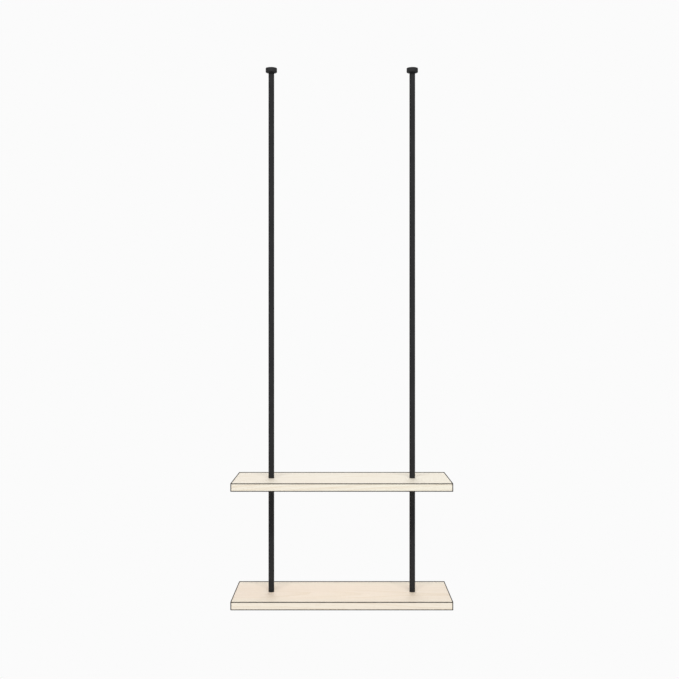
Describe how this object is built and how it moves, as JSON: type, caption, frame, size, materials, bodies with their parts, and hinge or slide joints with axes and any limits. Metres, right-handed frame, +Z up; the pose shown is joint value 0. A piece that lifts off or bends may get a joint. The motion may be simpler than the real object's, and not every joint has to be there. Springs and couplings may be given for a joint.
{
  "type": "ceiling hanging shelf",
  "caption": "Ceiling hanging shelf: pale wooden boards clamped on slim black steel tubes that drop from small round ceiling flanges; carries books, plants or jars.",
  "frame": {"origin": "on the ceiling plane, midway between the two tube axes", "axes": "+Z up to the ceiling, +X along the boards to the right seen from the front, -Y to the front"},
  "size_m": [0.6, 0.25, 1.4995],
  "materials": {
    "board_wood": "pale fine-grained wood under a satin clear lacquer, edges eased",
    "black_steel": "matt black powder coat with a fine texture",
    "zinc_steel": "turned steel with bright zinc plating"
  },
  "bodies": {
    "root": {"upper_shelf": "board_wood", "lower_shelf": "board_wood", "left_ceiling_flange": "black_steel", "left_upper_tube": "black_steel", "left_upper_tube_top_plug": "black_steel", "left_upper_tube_bottom_plug": "black_steel", "left_shelf_stud": "zinc_steel", "left_lower_tube": "black_steel", "left_lower_tube_top_plug": "black_steel", "left_lower_tube_bottom_plug": "black_steel", "left_shelf_washer": "black_steel", "left_shelf_bolt": "black_steel", "right_ceiling_flange": "black_steel", "right_upper_tube": "black_steel", "right_upper_tube_top_plug": "black_steel", "right_upper_tube_bottom_plug": "black_steel", "right_shelf_stud": "zinc_steel", "right_lower_tube": "black_steel", "right_lower_tube_top_plug": "black_steel", "right_lower_tube_bottom_plug": "black_steel", "right_shelf_washer": "black_steel", "right_shelf_bolt": "black_steel"}
  },
  "joints": []
}
